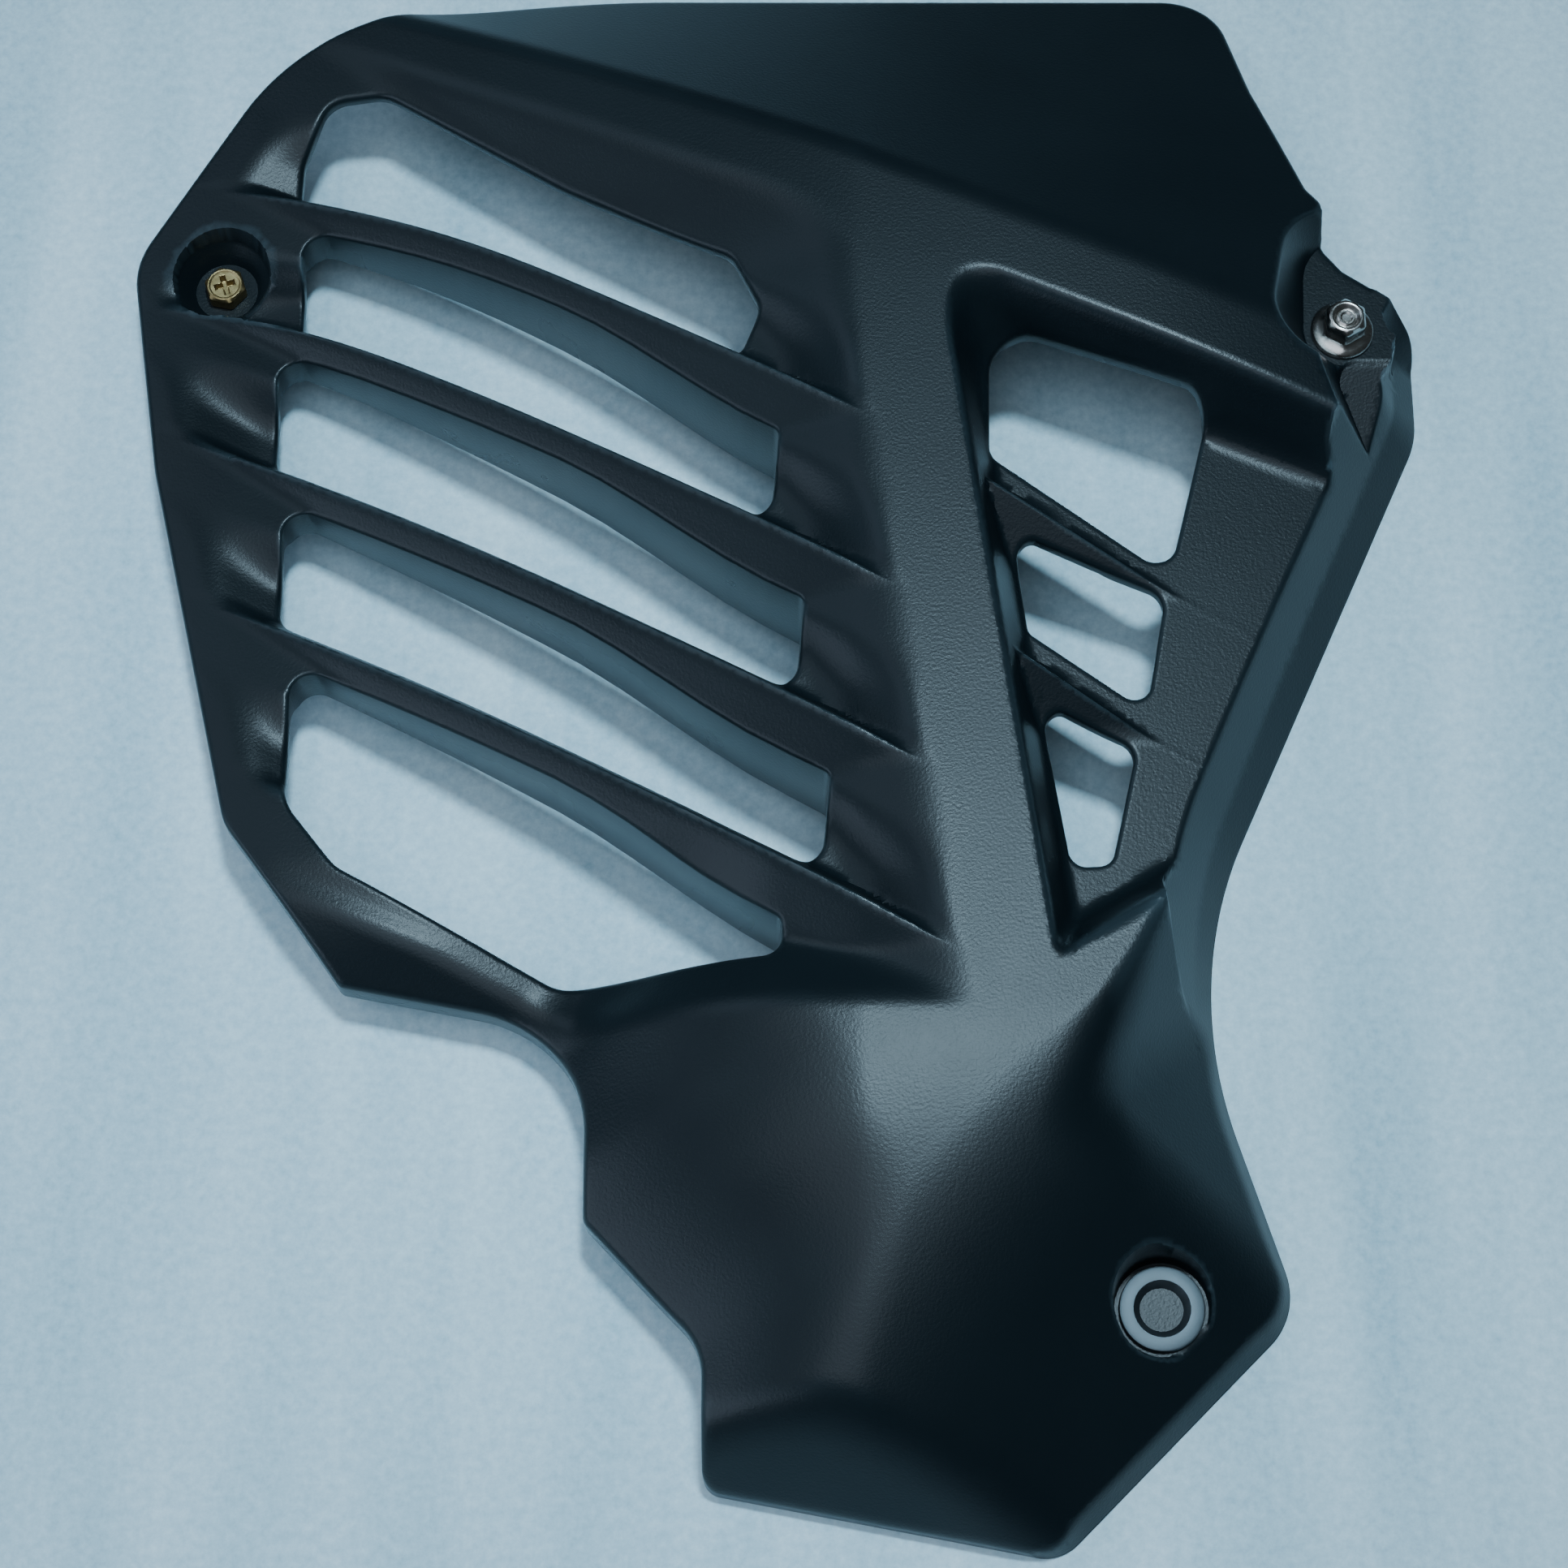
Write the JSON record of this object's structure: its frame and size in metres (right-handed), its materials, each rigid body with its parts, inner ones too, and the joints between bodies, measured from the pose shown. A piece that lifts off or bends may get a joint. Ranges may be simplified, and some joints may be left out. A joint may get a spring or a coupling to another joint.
{
  "type": "motorbike fan guard",
  "caption": "Moulded black plastic guard for the radiator fan of a motorbike, with slanted louvres, a side recess with openings, a flanged mounting collar and fitted screws",
  "frame": {"origin": "on the floor, under the middle of the outline", "axes": "+X across the guard towards the lug, +Y from the foot to the top edge, +Z out of the face"},
  "size_m": [0.2723, 0.3354, 0.042],
  "materials": {
    "guard_shell": "fine moulded grain, satin",
    "pocket_screw": "yellow zinc plating",
    "lug_bolt": "zinc plated, turned",
    "collar": "pressed steel, plated"
  },
  "bodies": {
    "root": {"guard_shell": "guard_shell", "pocket_screw": "pocket_screw", "lug_bolt": "lug_bolt", "collar": "collar"}
  },
  "joints": []
}
